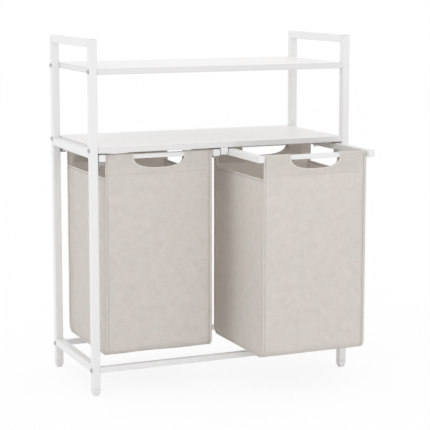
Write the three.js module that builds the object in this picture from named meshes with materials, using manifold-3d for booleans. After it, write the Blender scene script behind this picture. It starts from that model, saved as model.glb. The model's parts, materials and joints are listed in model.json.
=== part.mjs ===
// Laundry hamper with two bins: a white tube stand with two shelves, and two cloth bags that slide out
// on tube frames of their own under the middle shelf. The right bin stands partly pulled out.
// Millimetres, +Z up, the front towards -Y. The origin is on the floor under the middle of the whole
// object, so the stand is set back by half of the length that the right bin is pulled out.

import * as THREE from 'three';
import { mergeVertices } from 'three/addons/utils/BufferGeometryUtils.js';
import Module from 'manifold-3d';

const wasm = await Module();
wasm.setup();

// Driving dimensions
const width = 730;
const depth = 330;
const height = 908;
const topShelfDrop = 73;
const shelfSpacing = 197;
const shelfThickness = 15;
const pullOutLength = 180;

// Gaps between pieces that touch, and how far a cut runs past the face that it opens
const fit = 0.3;
const overrun = 4;

// Stand tubes
const frameTube = 20;
const frameWall = 1.2;
const frameRound = 1.8;
const crossTube = 15;
const crossWall = 1.2;
const crossRound = 1.5;
const crossEndPlate = 5;
const crossRailHeight = 66.3;
const lowSideRailHeight = 70;
const middleSideRailDrop = 5.5;

// Feet
const footHeight = 19;
const footTaper = 9;
const footTip = 13;
const footPlugLength = 20;

// Shelf boards
const boardEase = 0.8;
const boardRound = 1.5;

// Bolts
const boltThread = 6;
const boltReach = 25;
const boltHead = 11;
const boltHeadHeight = 3.2;
const boltHeadRim = 1;
const boltHeadFlat = 6.4;
const boltSocket = 4;
const boltSocketDepth = 2;

// Centre rail, its lugs and its screws
const centreRailWidth = 20;
const centreRailHeight = 18;
const centreRailWall = 1.2;
const centreRailRound = 1.5;
const lugThickness = 3;
const lugEdge = 3.5;
const frontLugSetback = 70;
const screwThread = 4.2;
const screwBite = 10;
const screwHead = 8.5;
const screwHeadHeight = 2.4;
const screwSetback = 40;

// Pegs and pins that carry the runners
const pegDiameter = 9;
const pegEase = 0.8;
const pegShank = 5;
const pegShankReach = 3;
const pegSetback = 1.5;

// Runners, the tubes that each bin slides on
const runnerTube = 17.5;
const runnerWall = 1.2;
const runnerRound = 1.5;
const runnerGap = 2.5;
const runnerDrop = 3.5;
const capThickness = 3;
const capPlugLength = 15;
const shoeThickness = 7.7;
const shoeSetback = 2;
const shoePlugLength = 24;
const stopLength = 5.2;
const stopWidth = 8;
const stopDepth = 5.5;

// Cross bars of a bin
const barTube = 12;
const barWall = 1;
const barRound = 1.2;
const barSetback = 17;

// Bags
const clothThickness = 2;
const sleeveThickness = 1.5;
const sleeveSlack = 0.5;
const sleeveRound = 4;
const channelRound = 1.2;
const bagGap = 1.5;
const bagBottomHeight = 98;
const bagBottomRound = 22;
const sidePanelDrop = 61;
const handleHalfWidth = 71.5;
const handleTopDrop = 8;
const handleDepth = 32;
const handleCurvePower = 2.5;

// Counts of steps in round shapes
const cornerSteps = 1;
const roundSides = 14;
const handleSteps = 12;
const bottomSteps = 4;

// Places that follow from the sizes
const quarterTurn = Math.PI / 2;
const postX = (width - frameTube) / 2;
const postY = (depth - frameTube) / 2;
const innerHalfWidth = width / 2 - frameTube;
const topShelfHeight = height - topShelfDrop;
const middleShelfHeight = topShelfHeight - shelfSpacing;
const topShelfMiddle = topShelfHeight - shelfThickness / 2;
const middleShelfMiddle = middleShelfHeight - shelfThickness / 2;
const middleShelfUnderside = middleShelfHeight - shelfThickness;
const boltHeights = [topShelfMiddle, middleShelfMiddle, crossRailHeight];
const boltHole = boltThread / 2 + fit;

const runnerTop = middleShelfUnderside - runnerDrop;
const runnerMiddle = runnerTop - runnerTube / 2;
const runnerUnderside = runnerTop - runnerTube;
const pegHeight = runnerUnderside - fit - pegDiameter / 2;
const pegLength = runnerGap + runnerTube - pegSetback;
const binMiddle = (innerHalfWidth + centreRailWidth / 2) / 2;
const binHalfWidth = (innerHalfWidth - centreRailWidth / 2) / 2 - runnerGap;
const runnerX = binHalfWidth - runnerTube / 2;
const runnerFront = -depth / 2 + capThickness + fit;
const runnerBack = depth / 2 - shoeSetback - shoeThickness - fit;
const stopBack = postY - pegDiameter / 2 - fit;

const centreRailTop = middleShelfUnderside - fit;
const centreRailMiddle = centreRailTop - centreRailHeight / 2;
const centreRailUnderside = centreRailTop - centreRailHeight;
const screwHole = screwThread / 2 + fit;
const screwPlaces = [-depth / 2 + screwSetback, depth / 2 - screwSetback];
const pinPlaces = [-depth / 2 + frontLugSetback, postY];

const sleeveHalf = barTube / 2 + sleeveSlack + sleeveThickness;
const barY = depth / 2 - barSetback;
const bagHalfDepth = barY + sleeveHalf;
const bagHalfWidth = binHalfWidth - runnerTube - bagGap;
const bagTop = runnerMiddle + sleeveHalf;

// Materials
const whitePaint = () => new THREE.MeshStandardMaterial({ color: 0xf3f3f1, roughness: 0.42, metalness: 0.1 });
const whiteBoard = () => new THREE.MeshStandardMaterial({ color: 0xf4f4f2, roughness: 0.5, metalness: 0 });
const whitePlastic = () => new THREE.MeshStandardMaterial({ color: 0xeeeeec, roughness: 0.55, metalness: 0 });
const greyPlastic = () => new THREE.MeshStandardMaterial({ color: 0xb4b5b6, roughness: 0.6, metalness: 0 });
const zincSteel = () => new THREE.MeshStandardMaterial({ color: 0x9c9d9f, roughness: 0.38, metalness: 0.85 });
const beigeCloth = () => new THREE.MeshStandardMaterial({ color: 0xcfc8c0, roughness: 0.95, metalness: 0 });

// Turns a closed geometry into a solid that can be cut and joined
function toSolid(geometry) {
  const bare = geometry.clone();
  bare.deleteAttribute('normal');
  bare.deleteAttribute('uv');
  const merged = mergeVertices(bare);
  return new wasm.Manifold(new wasm.Mesh({
    numProp: 3,
    vertProperties: new Float32Array(merged.attributes.position.array),
    triVerts: new Uint32Array(merged.index.array),
  }));
}

// Turns a solid back into a geometry
function toGeometry(solid) {
  const mesh = solid.getMesh();
  const geometry = new THREE.BufferGeometry();
  geometry.setAttribute('position', new THREE.BufferAttribute(mesh.vertProperties, mesh.numProp));
  geometry.setIndex(new THREE.BufferAttribute(mesh.triVerts, 1));
  geometry.computeVertexNormals();
  return geometry;
}

// A rectangle with round corners, centred on its own origin
function roundedSection(across, tall, radius) {
  const x = across / 2 - radius;
  const y = tall / 2 - radius;
  const shape = new THREE.Shape();
  shape.absarc(x, y, radius, 0, quarterTurn);
  shape.absarc(-x, y, radius, quarterTurn, 2 * quarterTurn);
  shape.absarc(-x, -y, radius, 2 * quarterTurn, 3 * quarterTurn);
  shape.absarc(x, -y, radius, 3 * quarterTurn, 4 * quarterTurn);
  shape.closePath();
  return shape;
}

// The same rectangle as the wall of a tube, with its bore left open
function tubeSection(across, tall, radius, wall) {
  const shape = roundedSection(across, tall, radius);
  const boreRadius = radius * (across - 2 * wall) / across;
  shape.holes.push(roundedSection(across - 2 * wall, tall - 2 * wall, boreRadius));
  return shape;
}

// The section of a plug that fits in the bore of such a tube
function plugSection(across, tall, radius, wall) {
  return roundedSection(across - 2 * wall - 2 * fit, tall - 2 * wall - 2 * fit, radius);
}

// Extrudes a section along Z, between two heights
function extrude(shape, from, to) {
  const options = { depth: to - from, bevelEnabled: false, curveSegments: cornerSteps };
  return new THREE.ExtrudeGeometry(shape, options).translate(0, 0, from);
}

// A block between two corners
function block(from, to) {
  const size = to.map((value, axis) => value - from[axis]);
  const middle = to.map((value, axis) => (value + from[axis]) / 2);
  return new THREE.BoxGeometry(...size).translate(...middle);
}

// A round rod along X between two places
function rodAlongX(radius, from, to) {
  const rod = new THREE.CylinderGeometry(radius, radius, to - from, roundSides);
  return rod.rotateZ(quarterTurn).translate((from + to) / 2, 0, 0);
}

// A round rod along Z between two heights
function rodAlongZ(radius, from, to) {
  const rod = new THREE.CylinderGeometry(radius, radius, to - from, roundSides);
  return rod.rotateX(quarterTurn).translate(0, 0, (from + to) / 2);
}

// A turned piece: a profile of [radius, height] pairs, from the axis round to the axis, going up
function turned(profile) {
  return new THREE.LatheGeometry(profile.map(([r, h]) => new THREE.Vector2(r, h)), roundSides);
}

// Adds one named piece to a group and returns it, to be turned or moved
function addPiece(group, name, geometry, material, place) {
  const mesh = new THREE.Mesh(geometry, material);
  mesh.name = name;
  mesh.position.set(...place);
  group.add(mesh);
  return mesh;
}

// Cuts tube ends at 45 degrees, on the line from the outer corner to the inner corner
const mitreGap = fit * Math.SQRT2 / 2;
function mitred(geometry, isEnd, endAt) {
  const points = geometry.attributes.position;
  for (let i = 0; i < points.count; i++) {
    const point = new THREE.Vector3().fromBufferAttribute(points, i);
    if (isEnd(point)) points.setZ(i, endAt(point));
  }
  geometry.computeVertexNormals();
  return geometry;
}

// A corner post: open at the foot, mitred at the top, drilled for three bolts and one peg
function makePost(sideX, sideY) {
  const base = footHeight + fit;
  const section = tubeSection(frameTube, frameTube, frameRound, frameWall);
  const tube = mitred(
    extrude(section, base, height),
    (point) => point.z > base,
    (point) => height - mitreGap - (frameTube / 2 - sideY * point.y),
  );
  let post = toSolid(tube);
  const reach = frameTube / 2 + overrun;
  for (const boltHeight of boltHeights) {
    post = post.subtract(toSolid(rodAlongX(boltHole, -reach, reach).translate(0, 0, boltHeight)));
  }
  const pegHole = rodAlongX(pegShank / 2 + fit, 0, reach);
  if (sideX > 0) pegHole.rotateZ(2 * quarterTurn);
  return toGeometry(post.subtract(toSolid(pegHole.translate(0, 0, pegHeight))));
}

// A top bar, mitred at both ends to meet the posts
function makeTopBar() {
  const section = tubeSection(frameTube, frameTube, frameRound, frameWall);
  const endAt = (point) => depth / 2 - mitreGap - (frameTube / 2 - point.y);
  return mitred(
    extrude(section, -depth / 2, depth / 2),
    () => true,
    (point) => Math.sign(point.z) * endAt(point),
  );
}

// A side rail between the front and the back post
function makeSideRail() {
  const half = depth / 2 - frameTube - fit;
  return extrude(tubeSection(frameTube, frameTube, frameRound, frameWall), -half, half);
}

// A bottom rail at the front or the back: a tube with a drilled plate in each end for the bolts
function makeCrossRail() {
  const half = innerHalfWidth - fit;
  const boreHalf = half - crossEndPlate;
  const bore = crossTube - 2 * crossWall;
  const outside = toSolid(extrude(roundedSection(crossTube, crossTube, crossRound), -half, half));
  const inside = toSolid(extrude(roundedSection(bore, bore, crossRound), -boreHalf, boreHalf));
  const holes = toSolid(rodAlongZ(boltHole, -half - overrun, half + overrun));
  return toGeometry(outside.subtract(inside).subtract(holes));
}

// A foot: a tapered tip, a square collar under the post, and a plug inside it
function makeFoot() {
  const taper = extrude(roundedSection(frameTube, frameTube, frameRound), 0, footTaper);
  const points = taper.attributes.position;
  const tipShare = footTip / frameTube;
  for (let i = 0; i < points.count; i++) {
    if (points.getZ(i) === 0) points.setXY(i, points.getX(i) * tipShare, points.getY(i) * tipShare);
  }
  const collar = extrude(roundedSection(frameTube, frameTube, frameRound), footTaper, footHeight);
  const plugShape = plugSection(frameTube, frameTube, frameRound, frameWall);
  const plug = extrude(plugShape, footTaper, footHeight + footPlugLength);
  return toGeometry(toSolid(taper).add(toSolid(collar)).add(toSolid(plug)));
}

// A shelf board with eased edges, drilled in its ends for four bolts
function makeBoard() {
  const half = innerHalfWidth - fit;
  const shape = roundedSection(2 * half, depth, boardRound);
  const board = new THREE.ExtrudeGeometry(shape, {
    depth: shelfThickness - 2 * boardEase,
    bevelThickness: boardEase,
    bevelSize: boardEase,
    bevelOffset: -boardEase,
    bevelSegments: 1,
    curveSegments: 1,
  }).translate(0, 0, boardEase - shelfThickness / 2);
  let solid = toSolid(board);
  const holeDepth = boltReach + fit;
  for (const side of [-1, 1]) {
    for (const y of [-postY, postY]) {
      const hole = rodAlongX(boltHole, half - holeDepth, half + overrun);
      if (side < 0) hole.rotateZ(2 * quarterTurn);
      solid = solid.subtract(toSolid(hole.translate(0, y, 0)));
    }
  }
  return solid;
}

// The middle board also takes the two screws of the centre rail from below
function makeMiddleBoard() {
  let solid = makeBoard();
  const low = -shelfThickness / 2;
  for (const y of screwPlaces) {
    const hole = rodAlongZ(screwHole, low - overrun, low + screwBite + fit).translate(0, y, 0);
    solid = solid.subtract(toSolid(hole));
  }
  return toGeometry(solid);
}

// A button-head bolt with its head towards -X, measured from the underside of the head
function makeBolt() {
  const shank = frameTube + 2 * fit + boltReach;
  const bolt = turned([
    [0, -shank], [boltThread / 2, -shank], [boltThread / 2, 0], [boltHead / 2, 0],
    [boltHead / 2, boltHeadRim], [boltHeadFlat / 2, boltHeadHeight], [0, boltHeadHeight],
  ]);
  const socket = new THREE.CylinderGeometry(boltSocket / 2, boltSocket / 2, boltSocketDepth + overrun, 6);
  socket.translate(0, boltHeadHeight - boltSocketDepth + (boltSocketDepth + overrun) / 2, 0);
  return toGeometry(toSolid(bolt).subtract(toSolid(socket))).rotateZ(quarterTurn);
}

// The rail under the middle shelf, with two lugs below it that hold the pins
function makeCentreRail() {
  const half = depth / 2 - capThickness - fit;
  const section = tubeSection(centreRailWidth, centreRailHeight, centreRailRound, centreRailWall);
  const tube = extrude(section, -half, half).rotateX(quarterTurn).translate(0, 0, centreRailMiddle);
  let rail = toSolid(tube);
  const lugHalf = pegDiameter / 2 + fit + lugEdge;
  for (const y of pinPlaces) {
    const lugBack = Math.min(y + lugHalf, half);
    const lug = block(
      [-lugThickness / 2, y - lugHalf, pegHeight - lugHalf],
      [lugThickness / 2, lugBack, centreRailUnderside + centreRailWall],
    );
    const pinHole = rodAlongX(pegDiameter / 2 + fit, -centreRailWidth, centreRailWidth);
    rail = rail.add(toSolid(lug)).subtract(toSolid(pinHole.translate(0, y, pegHeight)));
  }
  for (const y of screwPlaces) {
    const hole = rodAlongZ(screwHole, centreRailUnderside - overrun, centreRailTop + overrun);
    rail = rail.subtract(toSolid(hole.translate(0, y, 0)));
  }
  return toGeometry(rail);
}

// A moulded cap with its face towards -Y and a plug behind it, measured from the face
function makeCap(across, tall, radius, wall) {
  const face = extrude(roundedSection(across, tall, radius), -capThickness, 0);
  const plugEnd = -capThickness - fit - capPlugLength;
  const plug = extrude(plugSection(across, tall, radius, wall), plugEnd, -capThickness / 2);
  return toGeometry(toSolid(face).add(toSolid(plug))).rotateX(quarterTurn);
}

// A screw that fixes the centre rail, head down, measured from the underside of the rail
function makeScrew() {
  const seat = -fit;
  const tip = centreRailHeight + fit + screwBite;
  const screw = turned([
    [0, seat - screwHeadHeight], [screwHead / 3, seat - screwHeadHeight],
    [screwHead / 2, seat - screwHeadHeight / 3], [screwHead / 2, seat],
    [screwThread / 2, seat], [screwThread / 2, tip - screwThread], [0, tip],
  ]);
  return screw.rotateX(quarterTurn);
}

// A peg on a post, pointing to +X, with a shank through the wall of the post
function makePeg() {
  const r = pegDiameter / 2;
  const shankEnd = -frameWall - pegShankReach;
  const peg = turned([
    [0, shankEnd], [pegShank / 2, shankEnd], [pegShank / 2, fit], [r, fit],
    [r, pegLength - pegEase], [r - pegEase, pegLength], [0, pegLength],
  ]);
  return peg.rotateZ(-quarterTurn);
}

// A pin through a lug of the centre rail, which carries the inner runner of both bins
function makePin() {
  const r = pegDiameter / 2;
  const half = centreRailWidth / 2 + pegLength;
  const pin = turned([
    [0, -half], [r - pegEase, -half], [r, pegEase - half],
    [r, half - pegEase], [r - pegEase, half], [0, half],
  ]);
  return pin.rotateZ(quarterTurn);
}

// A runner: a tube along Y with a slot in its underside for the stop
function makeRunner() {
  const section = tubeSection(runnerTube, runnerTube, runnerRound, runnerWall);
  const tube = extrude(section, -runnerBack, -runnerFront).rotateX(quarterTurn);
  const slot = block(
    [-stopWidth / 2 - fit, stopBack - stopLength - fit, -runnerTube / 2 - overrun],
    [stopWidth / 2 + fit, stopBack + fit, 0],
  );
  return toGeometry(toSolid(tube).subtract(toSolid(slot)));
}

// A moulded shoe in the back end of a runner: the raised back glides under the shelf, the plug sits
// in the tube, and the stop goes down through the slot to meet the pegs
function makeShoe() {
  const front = runnerBack + fit;
  const back = front + shoeThickness;
  const section = roundedSection(runnerTube, runnerTube, runnerRound);
  const flange = extrude(section, -back, -front).rotateX(quarterTurn);
  const pad = block(
    [-runnerTube / 2, front, 0],
    [runnerTube / 2, back, runnerTube / 2 + runnerDrop - fit],
  );
  const plugShape = plugSection(runnerTube, runnerTube, runnerRound, runnerWall);
  const plug = extrude(plugShape, -front - shoeThickness / 2, shoePlugLength - front).rotateX(quarterTurn);
  const stop = block(
    [-stopWidth / 2, stopBack - stopLength, -runnerTube / 2 - stopDepth],
    [stopWidth / 2, stopBack, 0],
  );
  return toGeometry(toSolid(flange).add(toSolid(pad)).add(toSolid(plug)).add(toSolid(stop)));
}

// A cross bar of a bin, between its two runners
function makeBar() {
  const half = runnerX - runnerTube / 2 - fit;
  const section = tubeSection(barTube, barTube, barRound, barWall);
  return extrude(section, -half, half).rotateY(quarterTurn);
}

// The side view of a bag, a U with round lower corners, as a block across the bag
function bagBlock(halfWidth, halfDepth, bottom, top, radius) {
  const shape = new THREE.Shape();
  shape.moveTo(halfDepth, top);
  shape.lineTo(-halfDepth, top);
  shape.lineTo(-halfDepth, bottom + radius);
  shape.absarc(radius - halfDepth, bottom + radius, radius, 2 * quarterTurn, 3 * quarterTurn);
  shape.absarc(halfDepth - radius, bottom + radius, radius, 3 * quarterTurn, 4 * quarterTurn);
  shape.closePath();
  const options = { depth: 2 * halfWidth, bevelEnabled: false, curveSegments: bottomSteps };
  const solid = new THREE.ExtrudeGeometry(shape, options).translate(0, 0, -halfWidth);
  return toSolid(solid.rotateX(quarterTurn).rotateZ(quarterTurn));
}

// The hand opening, a half oval with straight sides above it, cut from front to back
function handleCut() {
  const shape = new THREE.Shape();
  const middle = bagTop - handleTopDrop;
  shape.moveTo(handleHalfWidth, bagTop + overrun);
  shape.lineTo(-handleHalfWidth, bagTop + overrun);
  for (let i = 0; i <= handleSteps; i++) {
    const angle = 2 * quarterTurn * (1 + i / handleSteps);
    const along = Math.sign(Math.cos(angle)) * Math.abs(Math.cos(angle)) ** (2 / handleCurvePower);
    const down = Math.abs(Math.sin(angle)) ** (2 / handleCurvePower);
    shape.lineTo(handleHalfWidth * along, middle - handleDepth * down);
  }
  shape.closePath();
  const half = bagHalfDepth + overrun;
  return toSolid(extrude(shape, -half, half).rotateX(quarterTurn));
}

// A bag: front, bottom and back in one length of cloth, lower sides, and a sleeve round each bar
function makeBag() {
  const wall = clothThickness;
  const sleeveMiddle = runnerMiddle;
  const outside = bagBlock(bagHalfWidth, bagHalfDepth, bagBottomHeight, sleeveMiddle, bagBottomRound);
  const inside = bagBlock(
    bagHalfWidth - wall, bagHalfDepth - wall, bagBottomHeight + wall, bagTop, bagBottomRound - wall,
  );
  let bag = outside.subtract(inside);
  const sideTop = bagTop - sidePanelDrop;
  bag = bag.subtract(toSolid(block(
    [-bagHalfWidth - overrun, wall - bagHalfDepth, sideTop],
    [bagHalfWidth + overrun, bagHalfDepth - wall, bagTop + overrun],
  )));
  const channel = barTube + 2 * sleeveSlack;
  const sleeveShape = roundedSection(2 * sleeveHalf, 2 * sleeveHalf, sleeveRound);
  for (const y of [-barY, barY]) {
    const loop = extrude(sleeveShape, -bagHalfWidth, bagHalfWidth);
    bag = bag.add(toSolid(loop.rotateY(quarterTurn).translate(0, y, sleeveMiddle)));
    const half = bagHalfWidth + overrun;
    const bore = extrude(roundedSection(channel, channel, channelRound), -half, half);
    bag = bag.subtract(toSolid(bore.rotateY(quarterTurn).translate(0, y, sleeveMiddle)));
  }
  return toGeometry(bag.subtract(handleCut()));
}

// The stand
function buildStand() {
  const stand = new THREE.Group();
  const sides = [['left', -1], ['right', 1]];
  const ends = [['front', -1], ['back', 1]];
  for (const [side, sx] of sides) {
    for (const [end, sy] of ends) {
      addPiece(stand, `${end}_${side}_post`, makePost(sx, sy), whitePaint(), [sx * postX, sy * postY, 0]);
      addPiece(stand, `${end}_${side}_foot`, makeFoot(), whitePlastic(), [sx * postX, sy * postY, 0]);
      const peg = addPiece(stand, `${end}_${side}_peg`, makePeg(), greyPlastic(),
        [sx * innerHalfWidth, sy * postY, pegHeight]);
      if (sx > 0) peg.rotation.z = 2 * quarterTurn;
      const levels = ['top_shelf', 'middle_shelf', 'cross_rail'];
      levels.forEach((level, i) => {
        const place = [sx * (width / 2 + fit), sy * postY, boltHeights[i]];
        const bolt = addPiece(stand, `${end}_${side}_${level}_bolt`, makeBolt(), zincSteel(), place);
        if (sx > 0) bolt.rotation.z = 2 * quarterTurn;
      });
    }
    const railHeights = {
      top_bar: height - frameTube / 2,
      middle_rail: middleShelfHeight - middleSideRailDrop - frameTube / 2,
      bottom_rail: lowSideRailHeight,
    };
    for (const [name, z] of Object.entries(railHeights)) {
      const geometry = name === 'top_bar' ? makeTopBar() : makeSideRail();
      const rail = addPiece(stand, `${side}_${name}`, geometry, whitePaint(), [sx * postX, 0, z]);
      rail.rotation.x = quarterTurn;
    }
  }
  for (const [end, sy] of ends) {
    const place = [0, sy * postY, crossRailHeight];
    const rail = addPiece(stand, `${end}_bottom_rail`, makeCrossRail(), whitePaint(), place);
    rail.rotation.y = quarterTurn;
  }
  addPiece(stand, 'top_shelf', toGeometry(makeBoard()), whiteBoard(), [0, 0, topShelfMiddle]);
  addPiece(stand, 'middle_shelf', makeMiddleBoard(), whiteBoard(), [0, 0, middleShelfMiddle]);
  return stand;
}

// The centre rail with its caps, screws and pins
function buildCentreRail() {
  const group = new THREE.Group();
  addPiece(group, 'centre_rail', makeCentreRail(), whitePaint(), [0, 0, 0]);
  ['front', 'back'].forEach((end, i) => {
    const cap = makeCap(centreRailWidth, centreRailHeight, centreRailRound, centreRailWall);
    const sy = 2 * i - 1;
    const mesh = addPiece(group, `centre_rail_${end}_cap`, cap, whitePlastic(),
      [0, sy * depth / 2, centreRailMiddle]);
    if (sy > 0) mesh.rotation.z = 2 * quarterTurn;
    addPiece(group, `centre_rail_${end}_screw`, makeScrew(), zincSteel(),
      [0, screwPlaces[i], centreRailUnderside]);
    addPiece(group, `centre_rail_${end}_pin`, makePin(), greyPlastic(), [0, pinPlaces[i], pegHeight]);
  });
  return group;
}

// A bin: two runners with caps and shoes, two cross bars and the bag
function buildBin(name, side) {
  const bin = new THREE.Group();
  for (const sx of [-1, 1]) {
    const which = sx === side ? 'outer' : 'inner';
    const x = sx * runnerX;
    addPiece(bin, `${name}_${which}_runner`, makeRunner(), whitePaint(), [x, 0, runnerMiddle]);
    const cap = makeCap(runnerTube, runnerTube, runnerRound, runnerWall);
    addPiece(bin, `${name}_${which}_runner_cap`, cap, whitePlastic(), [x, -depth / 2, runnerMiddle]);
    addPiece(bin, `${name}_${which}_runner_shoe`, makeShoe(), whitePlastic(), [x, 0, runnerMiddle]);
  }
  addPiece(bin, `${name}_front_bar`, makeBar(), whitePaint(), [0, -barY, runnerMiddle]);
  addPiece(bin, `${name}_back_bar`, makeBar(), whitePaint(), [0, barY, runnerMiddle]);
  addPiece(bin, `${name}_bag`, makeBag(), beigeCloth(), [0, 0, 0]);
  return bin;
}

const hamper = new THREE.Group();
hamper.position.y = pullOutLength / 2;
hamper.add(buildStand());
hamper.add(buildCentreRail());
const leftBin = buildBin('left_bin', -1);
leftBin.position.set(-binMiddle, 0, 0);
hamper.add(leftBin);
const rightBin = buildBin('right_bin', 1);
rightBin.position.set(binMiddle, -pullOutLength, 0);
hamper.add(rightBin);

export default hamper;
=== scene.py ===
import json
import math

import bpy
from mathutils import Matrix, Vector, noise


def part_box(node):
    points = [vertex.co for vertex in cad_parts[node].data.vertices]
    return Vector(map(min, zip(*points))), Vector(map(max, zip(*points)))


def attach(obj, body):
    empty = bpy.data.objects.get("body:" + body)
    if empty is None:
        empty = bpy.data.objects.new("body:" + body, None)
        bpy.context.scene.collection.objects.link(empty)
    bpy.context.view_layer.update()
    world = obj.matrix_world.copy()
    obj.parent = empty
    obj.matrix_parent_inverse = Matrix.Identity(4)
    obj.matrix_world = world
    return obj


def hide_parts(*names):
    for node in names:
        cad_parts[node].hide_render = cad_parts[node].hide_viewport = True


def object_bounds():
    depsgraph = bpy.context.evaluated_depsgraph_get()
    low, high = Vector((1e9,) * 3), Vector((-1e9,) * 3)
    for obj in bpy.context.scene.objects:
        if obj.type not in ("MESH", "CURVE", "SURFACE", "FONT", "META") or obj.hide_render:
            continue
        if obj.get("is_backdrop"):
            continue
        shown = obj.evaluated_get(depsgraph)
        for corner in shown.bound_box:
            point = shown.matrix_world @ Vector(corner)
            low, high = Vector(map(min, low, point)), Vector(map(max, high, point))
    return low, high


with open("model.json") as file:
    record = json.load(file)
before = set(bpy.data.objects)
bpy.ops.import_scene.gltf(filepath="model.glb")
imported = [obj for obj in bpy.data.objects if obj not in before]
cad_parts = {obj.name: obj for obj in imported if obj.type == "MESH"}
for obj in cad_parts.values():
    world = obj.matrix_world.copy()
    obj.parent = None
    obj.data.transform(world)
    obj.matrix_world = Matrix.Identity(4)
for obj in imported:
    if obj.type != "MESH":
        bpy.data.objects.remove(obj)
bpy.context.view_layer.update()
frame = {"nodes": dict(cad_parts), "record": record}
scene = bpy.context.scene


# Camera
# It stands to the left of the front, a little higher than the hamper's top, with a long lens. The
# shift is what puts the hamper in the middle of a square picture.
eye = Vector((-1.5283, -3.5194, 1.0598))
camera_turn = math.radians(23.554)
camera_tilt = math.radians(8.076)
camera_sensor = 36
camera_lens = 122.59
camera_shift = -0.0698


def stand_looking(thing, place, ahead):
    """Puts a camera or lamp in the scene at a place, looking ahead."""
    scene.collection.objects.link(thing)
    thing.location = place
    thing.rotation_mode = "QUATERNION"
    thing.rotation_quaternion = ahead.to_track_quat("-Z", "Y")


camera_data = bpy.data.cameras.new("camera")
camera_data.sensor_width = camera_sensor
camera_data.lens = camera_lens
camera_data.shift_y = camera_shift
camera = bpy.data.objects.new("camera", camera_data)
stand_looking(camera, eye, Vector((
    math.sin(camera_turn) * math.cos(camera_tilt),
    math.cos(camera_turn) * math.cos(camera_tilt),
    -math.sin(camera_tilt),
)))
scene.camera = camera
scene.view_settings.view_transform = "Standard"


# Floor and light
# A white studio: a pale matt floor, an even white room and one large soft lamp at the upper left of
# the front. Seen straight on, the floor and the room are white, and the floor keeps a faint shadow.
floor_half = 12.0
floor_colour = (0.94, 0.94, 0.94, 1)
floor_glow_share = 0.84
floor_glow = 1.015
white_light = (1, 1, 1, 1)
white_level = 1.0
room_level = 0.95
lamp_place = Vector((-2.6, -2.8, 2.2))
lamp_target = Vector((0.0, 0.0, 0.45))
lamp_width = 2.4
lamp_power = 10.0


def add_node(tree, kind, inputs=None, **settings):
    """Adds a shader node. Inputs go by name or number, and are values or other nodes' outputs."""
    made = tree.nodes.new("ShaderNode" + kind)
    for name, value in settings.items():
        setattr(made, name, value)
    for name, value in (inputs or {}).items():
        if isinstance(value, bpy.types.NodeSocket):
            tree.links.new(value, made.inputs[name])
        else:
            made.inputs[name].default_value = value
    return made


def calculate(tree, operation, first, second=0.0):
    """The result of a Math node."""
    return add_node(tree, "Math", {0: first, 1: second}, operation=operation).outputs[0]


def seen_straight_on(tree):
    """1 for what the camera sees, straight on, in metal or through glass, and 0 for light."""
    path = add_node(tree, "LightPath")
    seen = calculate(tree, "MAXIMUM", path.outputs["Is Camera Ray"], path.outputs["Is Glossy Ray"])
    return calculate(tree, "MAXIMUM", seen, path.outputs["Is Transmission Ray"])


def end_in_mix(tree, share, first, second, output):
    """Ends a node tree in a mix of two shaders."""
    both = add_node(tree, "MixShader", {0: share, 1: first.outputs[0], 2: second.outputs[0]})
    add_node(tree, output, {"Surface": both.outputs[0]})


def piece_from(name, points, faces, material):
    """A smooth-shaded mesh object with one material."""
    mesh = bpy.data.meshes.new(name)
    mesh.from_pydata([tuple(p) for p in points], [], faces)
    mesh.shade_smooth()
    mesh.materials.append(material)
    piece = bpy.data.objects.new(name, mesh)
    scene.collection.objects.link(piece)
    return piece


world = bpy.data.worlds.new("white_room")
world.use_nodes = True
tree = world.node_tree
tree.nodes.clear()
room = add_node(tree, "Background", {"Color": white_light, "Strength": room_level})
seen_room = add_node(tree, "Background", {"Color": white_light, "Strength": white_level})
end_in_mix(tree, seen_straight_on(tree), room, seen_room, "OutputWorld")
scene.world = world

floor_material = bpy.data.materials.new("pale_floor")
floor_material.use_nodes = True
tree = floor_material.node_tree
tree.nodes.clear()
matt = add_node(tree, "BsdfDiffuse", {"Color": floor_colour})
glow = add_node(tree, "Emission", {"Color": white_light, "Strength": floor_glow})
glow_share = calculate(tree, "MULTIPLY", seen_straight_on(tree), floor_glow_share)
end_in_mix(tree, glow_share, matt, glow, "OutputMaterial")
floor_corners = [(x * floor_half, y * floor_half, 0) for x, y in ((-1, -1), (1, -1), (1, 1), (-1, 1))]
floor = piece_from("floor", floor_corners, [(0, 1, 2, 3)], floor_material)
floor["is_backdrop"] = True

lamp_data = bpy.data.lights.new("soft_lamp", "AREA")
lamp_data.size = lamp_width
lamp_data.energy = lamp_power
stand_looking(bpy.data.objects.new("soft_lamp", lamp_data), lamp_place, lamp_target - lamp_place)


# Painted tubes
# Posts, bars, rails and runners are square steel tube with rounded corners, powder coated white in
# one go after welding: satin, with the very fine orange peel that baked powder has.
corner_samples = 6
grain_detail = 1.0


def new_material(name, colour, roughness):
    """A material, its node tree and its shader."""
    material = bpy.data.materials.new(name)
    material.use_nodes = True
    shader = material.node_tree.nodes["Principled BSDF"]
    shader.inputs["Base Color"].default_value = colour
    shader.inputs["Roughness"].default_value = roughness
    return material, material.node_tree, shader


def noise_at(tree, place, scale, detail=2.0):
    return add_node(tree, "TexNoise", {"Vector": place, "Scale": scale, "Detail": detail}).outputs["Fac"]


def blend_colours(tree, factor, first, second):
    return add_node(tree, "Mix", {0: factor, 6: first, 7: second}, data_type="RGBA").outputs[2]


def map_range(tree, value, before, after=(0.0, 1.0)):
    """A value carried over from its limits before to those after."""
    limits = {"From Min": before[0], "From Max": before[1], "To Min": after[0], "To Max": after[1]}
    return add_node(tree, "MapRange", {"Value": value, **limits}).outputs[0]


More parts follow.
